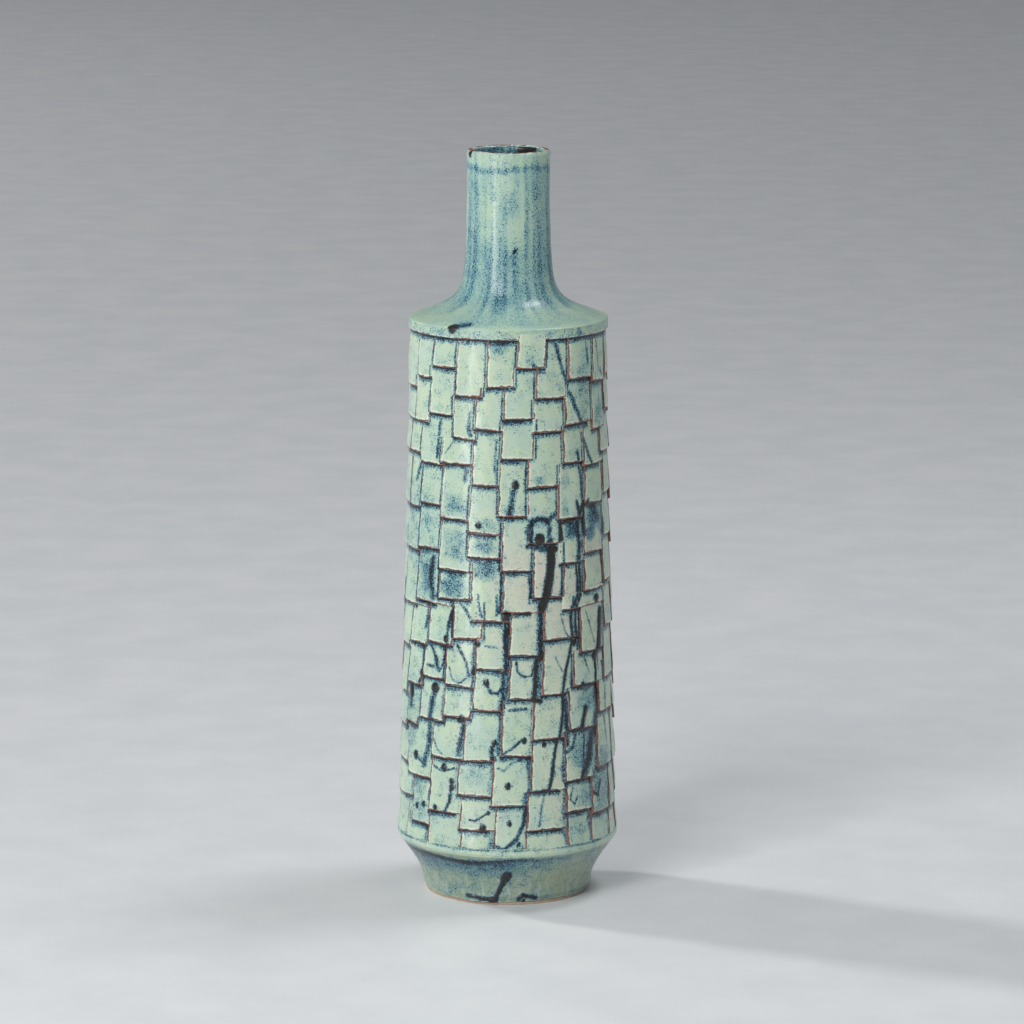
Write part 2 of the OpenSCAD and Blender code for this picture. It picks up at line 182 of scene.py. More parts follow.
# Speckled navy runs and strokes: points, width, strength.
NAVY_RUNS = [
    ([(4, 217), (2.5, 211), (1, 203)], 2.2, 0.85),
    ([(18.5, 158), (18.5, 144), (18, 131)], 2.6, 1.0),
    ([(16, 128), (15.5, 118), (15, 109)], 2.4, 0.95),
    ([(4.5, 130), (5.5, 123), (9, 120.5), (13, 121), (15, 127)], 0.8, 0.9),
    ([(28.5, 288), (31.5, 278), (35.5, 268)], 1.3, 0.8),
    ([(37.5, 263), (42, 254), (47, 246)], 1.6, 0.85),
    ([(48.5, 238), (52, 230), (56.5, 223)], 1.4, 0.8),
    ([(43, 232), (46.5, 219), (46.5, 205)], 1.5, 0.8),
    ([(13, 199), (11.5, 194), (13, 188), (17.5, 185.5), (22, 186), (24, 189)], 2.2, 0.95),
    ([(13, 199), (17, 200.5), (22, 199.5), (24, 196), (23, 191)], 1.8, 0.8),
    ([(23, 199), (27, 202)], 1.8, 0.75),
    ([(14, 187), (19, 184), (26, 185.5)], 1.6, 0.9),
    ([(43, 197), (44, 186), (43, 178)], 2.4, 0.95),
    ([(-43, 111), (-45, 104), (-46, 95)], 2.4, 0.9),
    ([(-11, 116), (-9, 112.5), (-5, 112), (-2.5, 116), (-2, 122)], 1.1, 0.9),
    ([(-1, 150), (-1.5, 140), (-1, 125)], 1.6, 0.85),
    ([(-2, 122), (-2.5, 112), (-3, 102)], 1.8, 0.85),
    ([(-31, 62), (-32, 55), (-35, 48.5)], 1.3, 0.9),
    ([(-20, 47), (-17, 46.5), (-13, 49), (-10, 51)], 0.8, 0.95),
    ([(10, 53), (8.5, 45), (5, 38), (-2, 32), (-6, 34)], 1.5, 0.95),
    ([(-5, 74), (-2, 72.5), (3, 77), (8, 78)], 1.0, 0.6),
    ([(-2, 81.5), (3, 84.5), (8.5, 89)], 1.0, 0.8),
    ([(1, 103.5), (10, 104)], 1.1, 0.7),
    ([(-7, 87), (-8.5, 82), (-7, 78)], 1.8, 0.85),
    ([(-24, 95), (-25.5, 88), (-27, 80)], 2.3, 0.85),
    ([(-47, 94), (-47, 82), (-50, 72)], 2.6, 0.8),
    ([(-57, 75), (-51, 72)], 1.1, 0.8),
    ([(-43, 86), (-40, 81), (-37, 79)], 0.7, 0.7),
    ([(-43, 72), (-37, 70), (-30, 72)], 0.9, 0.8),
    ([(-46, 60), (-47, 54)], 1.2, 0.6),
    ([(-48, 135), (-43, 128), (-41, 122)], 1.6, 0.85),
    ([(-36, 130), (-38, 124), (-40, 121)], 1.2, 0.8),
    ([(-49, 123), (-44, 123)], 1.1, 0.7),
    ([(-32.5, 152), (-34.5, 145), (-35, 139)], 1.3, 0.85),
    ([(-28, 135), (-23, 127), (-21, 120)], 1.2, 0.8),
    ([(-33, 124), (-31, 118), (-27, 116), (-23, 119)], 0.7, 0.7),
    ([(-28, 158), (-22, 152), (-19, 146)], 1.2, 0.75),
    ([(-12, 136), (-6, 135.5)], 0.9, 0.6),
    ([(-50, 151), (-51, 142)], 1.6, 0.65),
    ([(-53.5, 118), (-56, 113)], 1.3, 0.85),
    ([(-65, 106), (-65, 100)], 2.4, 0.7),
    ([(32, 110), (33, 96), (34, 84)], 2.0, 0.8),
    ([(40, 90), (37, 82), (33, 80)], 1.3, 0.7),
    ([(45, 100), (46, 88), (45, 75)], 0.8, 0.7),
    ([(56.5, 112), (57, 102), (54, 92)], 3.0, 0.9),
    ([(54, 90), (50, 78), (45, 66)], 3.4, 0.9),
    ([(66, 110), (65, 96), (67, 82)], 1.2, 0.7),
    ([(20, 60), (18, 52), (17, 44)], 1.0, 0.6),
    ([(37, 62), (35, 56), (38, 53), (40, 57)], 0.8, 0.7),
    ([(52, 57), (56, 55), (59, 62)], 1.1, 0.8),
    ([(27, 129), (31, 122)], 0.8, 0.6),
    ([(48, 151), (52, 142), (55, 134)], 0.8, 0.55),
    ([(47, 127), (50, 119)], 0.8, 0.6),
    ([(30, 152), (33, 142), (36, 138)], 0.8, 0.55),
    ([(-42.5, 249), (-43.5, 238), (-44, 229)], 1.5, 0.7),
    ([(-22.5, 253), (-23, 246), (-21.5, 242)], 1.6, 0.7),
    ([(-33, 238), (-38, 232)], 0.7, 0.5),
    ([(-6.5, 240), (-7.5, 228), (-6, 219)], 1.2, 0.55),
    ([(-24, 225), (-25, 219)], 1.8, 0.7),
    ([(-60, 224), (-64, 216)], 1.8, 0.6),
    ([(11, 226), (9, 214)], 1.0, 0.5),
    ([(12, 172), (12.5, 162), (12, 158)], 1.2, 0.7),
    ([(-16.5, 162), (-15.5, 156), (-14, 151)], 0.9, 0.7),
    ([(-6, 162), (-6, 152)], 0.9, 0.7),
    ([(-46, 178), (-48, 168), (-45, 158)], 2.2, 0.75),
    ([(51, 288), (53, 276)], 1.4, 0.5),
    ([(62, 286), (64, 272)], 1.2, 0.5),
    ([(66, 272), (68, 269)], 1.6, 0.6),
    ([(14, 278), (16, 276)], 1.2, 0.6),
    ([(44, 296), (45, 292)], 1.6, 0.6),
    ([(-9, 296), (-5, 295)], 1.0, 0.6),
]

# Patches where the glaze is thick with blue speckle: (angle, height, half width in degrees, half
# height, strength).
BLUE_PATCHES = [
    (-62, 190, 22, 34, 0.38), (-32, 165, 9.5, 7, 1.0), (-13, 174, 7.5, 6, 1.0),
    (-13, 186, 8, 4, 0.8),
    (-30, 187, 9, 10, 0.6), (57, 198, 8.5, 6.5, 1.5), (53, 190, 6, 4.5, 0.9), (38, 193, 5, 5, 1.3),
    (-50, 168, 8, 13, 0.7), (18, 199, 7, 3, 0.7), (-30, 207, 9, 6, 0.6), (-12, 197, 6, 5, 0.5),
    (45, 80, 12, 12, 0.75), (62, 60, 12, 22, 0.8), (46, 56, 6, 7, 0.8), (38, 42, 8, 8, 0.5),
    (-5, 287, 8, 4, 0.7), (18, 220, 5, 2.5, 0.6), (12, 284, 6, 6, 0.35), (49, 262, 6, 22, 0.45),
    (66, 250, 8, 8, 0.5), (-18, 69, 8, 5, 0.35), (-55, 60, 7, 5, 0.4), (34, 218, 4, 4, 0.5),
    (48, 105, 8, 8, 0.6), (34, 203, 3, 3, 0.7), (66, 192, 5, 6, 1.0),
    (-64, 98, 14, 28, 0.45), (-60, 48, 16, 14, 0.4),
]

# Patches where the glaze is thin and the warm clay shows through.
WARM_PATCHES = [
    (8, 172, 22, 22, 0.75), (30, 160, 20, 30, 0.75), (58, 180, 14, 12, 0.6),
    (25, 120, 26, 24, 0.45), (28, 62, 14, 30, 0.4), (0, 140, 20, 18, 0.35),
    (60, 145, 12, 20, 0.5), (-8, 48, 12, 12, 0.3),
]


def tile_rows():
    """Every tile as a dict, for both halves of the vase, with its small irregularities."""
    rng = np.random.default_rng(11)
    tiles = []
    for c in range(COLUMN_COUNT):
        column = COLUMNS[c % HALF]
        turn = 180.0 * (c // HALF)
        for i, (top, left, right, *low) in enumerate(column):
            after = column[i + 1][0] if i + 1 < len(column) else FIELD_BOTTOM
            tile = dict(column=c, top=top, left=left + turn, right=right + turn)
            tile["bottom"] = low[0] if low else after
            tile["lean"] = rng.uniform(-1.6, 0.0)
            tile["slope"] = rng.uniform(-0.9, 0.5)
            tile["base"] = TOP_T + rng.uniform(-0.12, 0.12)
            tile["rise"] = RISE + rng.uniform(-0.12, 0.12)
            tile["tilt"] = TILT + rng.uniform(-0.15, 0.15)
            tile["phase"] = rng.uniform(0, 2 * math.pi, 6)
            tile["tone"] = rng.uniform(0, 1)
            if (c % HALF, i) == FLUSH_TILE:
                tile["base"], tile["rise"], tile["tilt"] = BAND_T, 0.35, 0.1
            tiles.append(tile)
    return tiles


TILES = tile_rows()
BY_COLUMN = [[t for t in TILES if t["column"] == c] for c in range(COLUMN_COUNT)]
# The upper band laps over the top row of tiles.
BAND_ABOVE = dict(top=FIELD_TOP + 30, bottom=FIELD_TOP - 0.3, left=-720.0, right=720.0, lean=0.0,
                  slope=0.0, base=BAND_T, rise=0.0, tilt=0.0)


def wall_r(z):
    return np.interp(z, WALL_Z, WALL_R)


def degrees_to_mm(z):
    """Millimetres round the surface for each degree, at a height."""
    return (wall_r(z) + TOP_T + RISE / 2) * math.pi / 180


def smooth(low, high, x):
    t = unit((x - low) / (high - low))
    return t * t * (3 - 2 * t)


def unit(x):
    """x, kept from 0 to 1."""
    return np.clip(x, 0, 1)


def turned(angle, near):
    """angle, moved by whole turns to lie within half a turn of near."""
    return angle + FULL_TURN * round((near - angle) / FULL_TURN)


def aside(angle, place):
    """Degrees from a place round the vase to each angle, -180 to 180."""
    return (angle - place + 180) % FULL_TURN - 180


def sine(angle, waves, offset=0.0):
    """A wave that runs a whole number of times round the vase."""
    return np.sin(np.radians(waves * angle + offset))


def share_down(t, z):
    return (t["top"] - z) / (t["top"] - t["bottom"])


def height(t, z, across):
    """How far a tile's face stands out from the wall, before its edges are rounded.

    across is 0 at the tile's left edge and 1 at its right edge."""
    down = np.clip(share_down(t, z), -0.4, 1.0)
    return t["base"] + t["rise"] * down + t["tilt"] * (0.5 - unit(across))


def edges_at(t, z, near):
    """A tile's left and right edges at a height, in the same turn as near."""
    lean = t["lean"] * unit(share_down(t, z))
    middle = (t["left"] + t["right"]) / 2
    shift = turned(middle, near) - middle if t is not BAND_ABOVE else 0.0
    return t["left"] + lean + shift, t["right"] + lean + shift


def beside(c, z):
    """The column's tile that is on top at a height."""
    column = BY_COLUMN[c % COLUMN_COUNT]
    found = [t for t in column if t["bottom"] <= z < t["top"]]
    if not found:
        return column[0] if z > column[0]["bottom"] else column[-1]
    return max(found, key=lambda t: height(t, z, 0.5))


# ---- marks to numbers

# What the glaze material reads at each point:
#   pool_and_shade  glaze gathered under an edge, with painted shade   side    the dark line beside a neighbour
#   rust    a worn, proud edge, with a painted highlight beside it   black   thick drips and beads
#   navy    speckled runs                       blue    thick glaze with blue speckle
#   warm    thin glaze over warm clay           tone    how yellow the green is
#   streak  upright streaks, -1 to 1            bare    unglazed clay
BASIC_VALUES = ("pool_and_shade", "side", "rust", "black", "navy", "blue", "warm")

# Marks that start further off than this are left out: degrees round, and millimetres up or down.
RUN_REACH = 60
BEAD_REACH = 40
HEIGHT_REACH = 40


def both_halves(items):
    """Each mark with how far it is turned and raised: all of them on the seen half, and two in
    three on the far half, each moved a little."""
    for i, item in enumerate(items):
        yield item, 0.0, 0.0
        if i % 3 != 1:
            yield item, 180.0 + 5 * (i * 7 % 5), -4.0 * (i * 5 % 4)


def path_distance(angle, z, path, turn, drop, near):
    """Distance in millimetres from each point to a path of (angle, height) points."""
    best = np.full(angle.shape, 1e3)
    k = degrees_to_mm(z)
    for (a0, z0), (a1, z1) in zip(path, path[1:]):
        start = turned(a0 + turn, near)
        ax, az = (start - angle) * k, z0 + drop - z
        bx, bz = (start + a1 - a0 - angle) * k, z1 + drop - z
        dx, dz = bx - ax, bz - az
        t = unit(-(ax * dx + az * dz) / (dx * dx + dz * dz + 1e-9))
        best = np.minimum(best, np.hypot(ax + t * dx, az + t * dz))
    return best


def runs_at(angle, z):
    """How strong the black drips, navy runs, blue patches and warm patches are at each point."""
    near, z_mid = float(np.mean(angle)), float(np.mean(z))
    reach = float(np.max(z) - np.min(z)) / 2 + HEIGHT_REACH
    black, navy, blue, warm = (np.zeros(angle.shape) for _ in range(4))

    def in_reach(place, h, wide):
        return abs(turned(place, near) - near) < wide and abs(h - z_mid) < reach

    for (path, width), turn, drop in both_halves(BLACK_RUNS):
        if in_reach(path[0][0] + turn, path[0][1], RUN_REACH):
            d = path_distance(angle, z, path, turn, drop, near)
            black = np.maximum(black, 1 - d / width)
            navy = np.maximum(navy, 0.75 * (1 - (d - width / 2) / 1.2))
    for (a, h, r), turn, drop in both_halves(BEADS):
        if in_reach(a + turn, h, BEAD_REACH):
            k = degrees_to_mm(z)
            d = np.hypot((turned(a + turn, near) - angle) * k * 1.1, (h + drop - z) * 0.92)
            black = np.maximum(black, 1 - d / (2 * r))
            navy = np.maximum(navy, 0.65 * (1 - (d - r) / 1.0))
    for (path, width, strength), turn, drop in both_halves(NAVY_RUNS):
        if in_reach(path[0][0] + turn, path[0][1], RUN_REACH):
            d = path_distance(angle, z, path, turn, drop, near)
            navy = np.maximum(navy, strength * (1.1 - 0.95 * d / width))
    for patches, out in ((BLUE_PATCHES, blue), (WARM_PATCHES, warm)):
        for (a, h, ra, rh, strength), turn, drop in both_halves(patches):
            x = (angle - turned(a + turn, near)) / ra
            y = (z - h - drop) / rh
            out += strength * smooth(1.25, 0.35, np.sqrt(x * x + y * y))
    return {"black": unit(black), "navy": unit(navy),
            "blue": np.clip(blue, 0, 1.6), "warm": unit(warm)}


def raise_to(values, key, amount):
    values[key] = np.maximum(values[key], amount)


def swelling(black):
    """How far the drips and beads stand out of the glaze."""
    return 0.55 * smooth(0.3, 0.95, black)


# ---- one tile

EDGE_MARGIN = 2.4    # how far from a proud edge its glaze is thin, and painted pale as a highlight
SIDE_LINE = 0.8      # distance from a neighbour's side to the middle of the dark line beside it
LOW_POOL = 2.9       # width of the blue pool beside a neighbour, low on the body
EDGE_POOL_AND_SHADE = 3.6      # how far glaze pools, and painted shade falls, below a neighbour's bottom edge
LAPPING = 1.0        # a right edge this many degrees past the next left edge lies over it
LEAST_STEP = 0.45    # one of two neighbours stands at least this much higher
MOST_BEND = 0.75     # how far an edge may be bent for that
BEND_WIDTH = 5.0     # how far in from the edge the bend reaches
EDGE_STEPS = [0.0, 0.06, 0.16, 0.32, 0.55, 0.85, 1.2]    # where the mesh lies near an edge
# Pairs of heights between which a mark comes in.
SIDE_LINE_FADE = (30, 170)
LOW_POOL_FADE = (215, 150)
RUST_FADE = (190, 120)


def spaced(length):
    """Offsets from 0 to length, close together near both ends."""
    inner = length - 2 * EDGE_STEPS[-1]
    count = max(2, int(round(inner / STEP)))
    middle = [EDGE_STEPS[-1] + inner * (i + 1) / count for i in range(count - 1)]
    far = [length - s for s in reversed(EDGE_STEPS)]
    return np.array(EDGE_STEPS + middle + far)


def joint(before, after, z, near):
    """How far the right-hand tile stands above the left-hand one where they meet, at one height,
    and how far each is bent so that one clearly lies over the other."""
    overlap = edges_at(before, z, near)[1] - edges_at(after, z, near)[0]
    over = -1 if overlap > LAPPING else 1
    step = height(after, z, 0) - height(before, z, 1)
    bend = over * np.clip(LEAST_STEP - over * step, 0, 2 * MOST_BEND) / 2
    return step + 2 * bend, bend


def lapped_edges(t, z):
    """A tile's left and right edges along its rows, how far each stands above its neighbour there,
    how far each is bent, and where the neighbours' edges are.

    Where the neighbour lies higher, the tile goes on underneath it."""
    near = (t["left"] + t["right"]) / 2
    left, right = edges_at(t, z, near)
    left, right = left + np.zeros(z.shape), right + np.zeros(z.shape)
    show, bend, rim = (np.zeros((2, len(z))) for _ in range(3))
    for i, zi in enumerate(z):
        tuck = TUCK / degrees_to_mm(zi)
        before, after = beside(t["column"] - 1, zi), beside(t["column"] + 1, zi)
        show[0, i], bend[0, i] = joint(before, t, zi, near)
        show[1, i], bend[1, i] = (-n for n in joint(t, after, zi, near))
        rim[0, i] = edges_at(before, zi, near)[1]
        rim[1, i] = edges_at(after, zi, near)[0]
        if show[0, i] < 0:
            left[i] = min(left[i], rim[0, i] - tuck)
        if show[1, i] < 0:
            right[i] = max(right[i], rim[1, i] + tuck)
    for side in bend:
        padded = np.pad(side, 3, mode="edge")
        side[:] = sum(padded[n:n + len(side)] for n in range(7)) / 7
    return left, right, show, bend, rim


def pooled_and_shaded_below(t, angle, z, own):
    """Where a tile lies just under the bottom edge of others: how deep its glaze pools, with
    painted shade under the edge, from 0 to 1, and the fillet of glaze in the corner, in
    millimetres."""
    near = (t["left"] + t["right"]) / 2
    k = degrees_to_mm(z)
    pool_and_shade, fillet = np.zeros(angle.shape), np.zeros(angle.shape)
    around = [n for s in (-1, 0, 1) for n in BY_COLUMN[(t["column"] + s) % COLUMN_COUNT]]
    for n in around + [BAND_ABOVE]:
        if n is t or n["bottom"] > t["top"] + 6 or n["bottom"] < t["bottom"] - 1:
            continue
        left, right = edges_at(n, z, near)
        beyond = np.maximum(left - angle, angle - right) * k
        middle = (left + right) / 2
        below = n["bottom"] + n["slope"] * (angle - middle) / np.maximum(right - left, 1) - z
        across = (angle - left) / np.maximum(right - left, 1)
        over = height(n, n["bottom"], across) - own
        shown = smooth(0.05, 0.5, over) * smooth(-0.3, 0.2, below)
        distance = np.hypot(np.maximum(beyond, 0), np.maximum(below, 0))
        shown = shown * smooth(1.2, 0.2, beyond)
        pool_and_shade = np.maximum(pool_and_shade, shown * (1 - distance / EDGE_POOL_AND_SHADE))
        corner = np.minimum(0.5, 0.45 * over) * unit(1 - distance / 0.9) ** 2
        fillet = np.maximum(fillet, shown * corner)
    return unit(pool_and_shade), fillet


def unevenness(t, u, v):
    """The gentle waves of a hand-pressed clay face, in millimetres."""
    p = t["phase"]
    pillow = 0.9 * (0.25 - (u - 0.5) ** 2) - 0.35 * (0.5 - v) ** 2
    return (pillow + 0.06 * np.sin(6.3 * u + p[0]) + 0.05 * np.sin(12.9 * u + 2.2 * v + p[1])
            + 0.05 * np.sin(7.1 * v + p[2]) + 0.03 * np.sin(17.0 * u - 9.0 * v + p[3]))


def rounded(d):
    """Drop of a rounded edge at a distance from it."""
    q = np.clip(EDGE_R - d, 0, EDGE_R)
    return EDGE_R - np.sqrt(EDGE_R ** 2 - q ** 2)


def tile_grid(left, right, k_row):
    """The mesh's points across a tile, in millimetres from its left edge, and each row's width.

    Near an edge the spacing is kept in millimetres, whatever the row's width."""
    width = (right - left) * k_row
    cols = spaced(float(np.median(width)))
    share, n = cols / cols[-1], len(EDGE_STEPS)
    x = share[None, :] * width[:, None]
    x[:, :n] = cols[:n]
    x[:, -n:] = width[:, None] - (cols[-1] - cols[-n:])[None, :]
    inner = (share - share[n - 1]) / (share[-n] - share[n - 1])
    span = slice(n, len(cols) - n)
    x[:, span] = x[:, [n - 1]] + inner[None, span] * (x[:, [-n]] - x[:, [n - 1]])
    return x, width


def pooled_beside(t, angle, z, show, rim, k_row):
    """Beside a neighbour that stands higher: the dark line, the blue pool low on the body, and
    the fillet of glaze in the corner."""
    side, low_pool, fillet = (np.zeros(angle.shape) for _ in range(3))
    for turn, stands, at in ((1, show[0], rim[0]), (-1, show[1], rim[1])):
        gap = turn * (angle - at[:, None]) * k_row[:, None]
        under = (stands < 0)[:, None]
        line = 1 - np.abs(gap - SIDE_LINE) / SIDE_LINE
        side = np.maximum(side, under * line * smooth(*SIDE_LINE_FADE, z))
        wide = LOW_POOL * (0.75 + 0.25 * np.sin(0.3 * z + 9 * t["tone"] + turn))
        wide = wide * (1.0 if turn < 0 else 0.55)
        varied = 0.55 + 0.45 * math.sin(40 * t["tone"] + turn)
        low = smooth(*LOW_POOL_FADE, z) * under * varied
        low_pool = np.maximum(low_pool, 1.05 * low * smooth(1.2, 0.5, gap / wide) * (gap > -0.5))
        fillet = np.maximum(fillet, under * 0.3 * unit(1 - np.abs(gap) / 0.7) ** 2)
    return unit(side), low_pool, fillet


def worn_edges(show, from_left, from_right, from_bottom, z):
    """Rust on the edges that stand proud, and the painted highlight of thin glaze beside them, from
    0 to 1.
    """
    def line(distance, shown):
        return unit(1 - distance / EDGE_MARGIN) * smooth(0, 0.3, shown)

    rust = np.maximum(line(from_left, show[0][:, None]), line(from_right, show[1][:, None]))
    rust = rust * (0.94 + 0.18 * smooth(*RUST_FADE, z))
    return np.maximum(rust, 0.95 * line(from_bottom, 1.0))


def tile_shell(t):
    """One closed tile: its points in millimetres, its faces, and its glaze values at each point."""
    rows = spaced(t["top"] + TUCK - t["bottom"])
    z_row = t["bottom"] + rows
    left, right, show, bend, rim = lapped_edges(t, z_row)
    k_row = degrees_to_mm(z_row)
    x, width = tile_grid(left, right, k_row)
    u = x / width[:, None]
    wave = 0.18 * np.sin(5.0 * u + t["phase"][4]) + t["slope"] * (u - 0.5)
    z = z_row[:, None] + wave * smooth(0, 1, 1 - rows / rows[-1])[:, None]
    side_wave = 0.14 * np.sin(z * 0.45 + t["phase"][5])
    angle = left[:, None] + x / k_row[:, None] + side_wave / k_row[:, None]

    own = height(t, z, u)
    from_left, from_right = x, width[:, None] - x
    for distance, amount in ((from_left, bend[0]), (from_right, bend[1])):
        own = own + amount[:, None] * unit(1 - distance / BEND_WIDTH) ** 2
    pool_and_shade, fillet = pooled_and_shaded_below(t, angle, z, own)
    side, low_pool, corner = pooled_beside(t, angle, z, show, rim, k_row)
    marks = runs_at(angle, z)
    last = t["bottom"] < FIELD_BOTTOM + 1
    from_bottom = np.broadcast_to(rows[:, None], x.shape) + (BURIED if last else 0.0)
    drop = rounded(np.minimum(np.minimum(from_left, from_right), from_bottom))
    out = own + unevenness(t, u, share_down(t, z)) * smooth(0, 2.5, from_bottom) - drop
    out = out + np.maximum(fillet, corner) + swelling(marks["black"])

    face = np.stack([wall_r(z) + out, angle, z], -1).reshape(-1, 3)
    rust = worn_edges(show, from_left, from_right, from_bottom, z)
    tone = np.full(x.shape, t["tone"])
    values = {"pool_and_shade": pool_and_shade, "side": side, "rust": rust, "tone": tone, **marks}
    raise_to(values, "blue", low_pool)
    return closed_shell(face, {name: value.reshape(-1) for name, value in values.items()}, *x.shape)


def closed_shell(face, values, count_r, count_c):
    """The tile's face with sides that go down into the wall, and a hidden inner side."""
    grid = np.arange(count_r * count_c).reshape(count_r, count_c)
    faces = np.stack([grid[:-1, :-1], grid[:-1, 1:], grid[1:, 1:], grid[1:, :-1]], -1)
    rim = np.concatenate([grid[0, :], grid[1:, -1], grid[-1, -2::-1], grid[-2:0:-1, 0]])
    sunk = face[rim].copy()
    sunk[:, 0] = wall_r(sunk[:, 2]) + SKIRT
    low = len(face) + np.arange(len(rim))
    after = np.roll(np.arange(len(rim)), -1)
    skirt = np.stack([rim, low, low[after], rim[after]], -1)
    points = np.concatenate([face, sunk])
    values = {name: np.concatenate([value, value[rim]]) for name, value in values.items()}
    faces = np.concatenate([faces.reshape(-1, 4), skirt])
    return points, faces, back_faces(low, count_r, count_c), values


def back_faces(low, count_r, count_c):
    """The hidden inner side: strips across the sunk rim, row by row."""
    side = count_r - 1
    right = low[count_c - 1:count_c + side]
    left = np.concatenate([low[:1], low[:count_c + side + (count_c - 1) - 1:-1]])
    strips = [(left[i], left[i + 1], right[i + 1], right[i]) for i in range(1, side - 1)]
    bottom_row, top_row = low[:count_c], low[count_c + side - 1:2 * count_c + side - 1]
    strips.append((left[1], right[1], *bottom_row[::-1]))
    strips.append((right[side - 1], left[side - 1], *top_row[::-1]))
    return strips


# ---- making meshes

def to_space(points):
    """Points (radius, angle, height) in millimetres as (x, y, z) in metres."""
    r, a, z = points[:, 0] * MM, np.radians(points[:, 1]), points[:, 2] * MM
    return np.stack([r * np.sin(a), -r * np.cos(a), z], -1)


def make_piece(name, points, faces, values, material, slot, *nodes):
    mesh = bpy.data.meshes.new(name)
    mesh.from_pydata(to_space(points).tolist(), [], [list(map(int, f)) for f in faces])
    for key, value in values.items():
        attribute = mesh.attributes.new(key, "FLOAT", "POINT")
        attribute.data.foreach_set("value", np.asarray(value, np.float32))
    mesh.polygons.foreach_set("use_smooth", [True] * len(mesh.polygons))
    mesh.update()
    mesh.materials.append(material)
    piece = bpy.data.objects.new(name, mesh)
    bpy.context.scene.collection.objects.link(piece)
    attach(piece, "root")
    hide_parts(*nodes)


def make_tile_column(c, material):
    points, faces, values, base = [], [], {}, 0
    for t in BY_COLUMN[c]:
        p, quads, back, marks = tile_shell(t)
        points.append(p)
        faces += [tuple(f + base) for f in quads]
        faces += [tuple(n + base for n in f) for f in back]
        for key, value in marks.items():
            values.setdefault(key, []).append(value)
        base += len(p)
    values = {key: np.concatenate(value) for key, value in values.items()}
    name = "tile_column_%02d" % (c + 1)
    make_piece("glazed_" + name, np.concatenate(points), faces, values, material, "tile_glaze",
               name)


# ---- turned pieces

def bezier(p, t):
    p = np.asarray(p, float)
    t = np.asarray(t)[:, None]
    s = 1 - t
    return s ** 3 * p[0] + 3 * s ** 2 * t * p[1] + 3 * s * t * t * p[2] + t ** 3 * p[3]


def arc(centre, radius, start, end, count):
    a = np.radians(np.linspace(start, end, count))
    return np.stack([centre[0] + radius * np.cos(a), centre[1] + radius * np.sin(a)], -1)


def resample(profile, step):
    """An outline's points at an even spacing, with its own corners kept."""
    points = [profile[0]]
    for a, b in zip(profile, profile[1:]):
        count = max(1, int(math.ceil(np.hypot(*(b - a)) / step)))
        points += [a + (b - a) * (i + 1) / count for i in range(count)]
    return np.array(points)


def held(outer):
    """The outline with a point close to each end, so that it shades well up to the joint."""
    start, end = outer[0], outer[-1]
    near_start = start + (outer[1] - start) * 0.05
    near_end = end + (outer[-2] - end) * 0.05
    return np.concatenate([[start, near_start], outer[1:-1], [near_end, end]])


def turned_piece(name, outer, inner, step, material, slot, shape, *nodes):
    """A closed ring: its outer outline going up, then its inner outline going down.

    shape(angle, z, r) gives the glaze values and how far the outer face is moved outwards."""
    outer = held(resample(np.asarray(outer, float), step))
    inner = resample(np.asarray(inner, float), 3 * step)
    profile = np.concatenate([outer, inner])
    around = int(2 * math.pi * outer[:, 0].max() / step)
    angle = np.arange(around) * FULL_TURN / around
    r = np.repeat(profile[:, :1], around, 1)
    z = np.repeat(profile[:, 1:], around, 1)
    a = np.repeat(angle[None, :], len(profile), 0)
    is_outer = np.zeros(r.shape)
    is_outer[:len(outer)] = 1
    values, move = shape(a, z, r)
    r = r + move * is_outer
    points = np.stack([r, a, z], -1).reshape(-1, 3)
    # The inside is plain blue glaze, or bare clay under the foot.
    values = {key: value * is_outer for key, value in values.items()}
    values["blue"] = values["blue"] + 1.3 * (1 - is_outer)
    if "bare" in values:
        raise_to(values, "bare", 1 - is_outer)
    values = {key: value.reshape(-1) for key, value in values.items()}
    grid = np.arange(points.shape[0]).reshape(r.shape)
    ring = np.roll(grid, -1, 1)
    up, ring_up = np.roll(grid, -1, 0), np.roll(ring, -1, 0)
    faces = np.stack([grid, ring, ring_up, up], -1).reshape(-1, 4)
    make_piece(name, points, faces, values, material, slot, *nodes)


def blank(a):
    values = {key: np.zeros(a.shape) for key in BASIC_VALUES}
    values["tone"] = np.full(a.shape, 0.5)
    return values


def hand_waves(a, z, size):
    """Low, slow waves that run round and up a thrown surface."""
    t = np.radians(a)
    return size * (np.sin(2 * t + 0.02 * z) + 0.6 * np.sin(3 * t + 1.0 + 0.05 * z)
                   + 0.5 * np.sin(0.35 * z + t))


def marked(a, z):
    """Glaze values of the marks, worked out in slices so that each lies near its own marks."""
    values = blank(a)
    for part in np.array_split(np.arange(a.shape[1]), 12):
        for key, value in runs_at(a[:, part], z[:, part]).items():
            values[key][:, part] = value
    return values


STREAKS = (3, 5, 8, 11, 15, 19, 24, 30, 37, 53, 71)     # streaks in a turn, from wide to narrow
FINE_STREAKS = 40                                       # past this many they are weaker


def streaks(a, z):
    """Upright streaks where glaze ran down the neck and fanned out over the shoulder, -1 to 1."""
    rng = np.random.default_rng(5)
    total, t = np.zeros(a.shape), np.radians(a)
    for waves in STREAKS:
        turn, drift, pace = rng.uniform(0, 2 * math.pi), rng.uniform(0.3, 0.9), rng.uniform(9, 26)
        swell = (0.7 + 0.3 * np.cos(z / pace)) * (1.0 if waves < FINE_STREAKS else 0.4)
        total += swell * np.sin(waves * t + turn + drift * np.sin(z / pace + turn))
    return np.clip(total / 2.2, -1, 1)


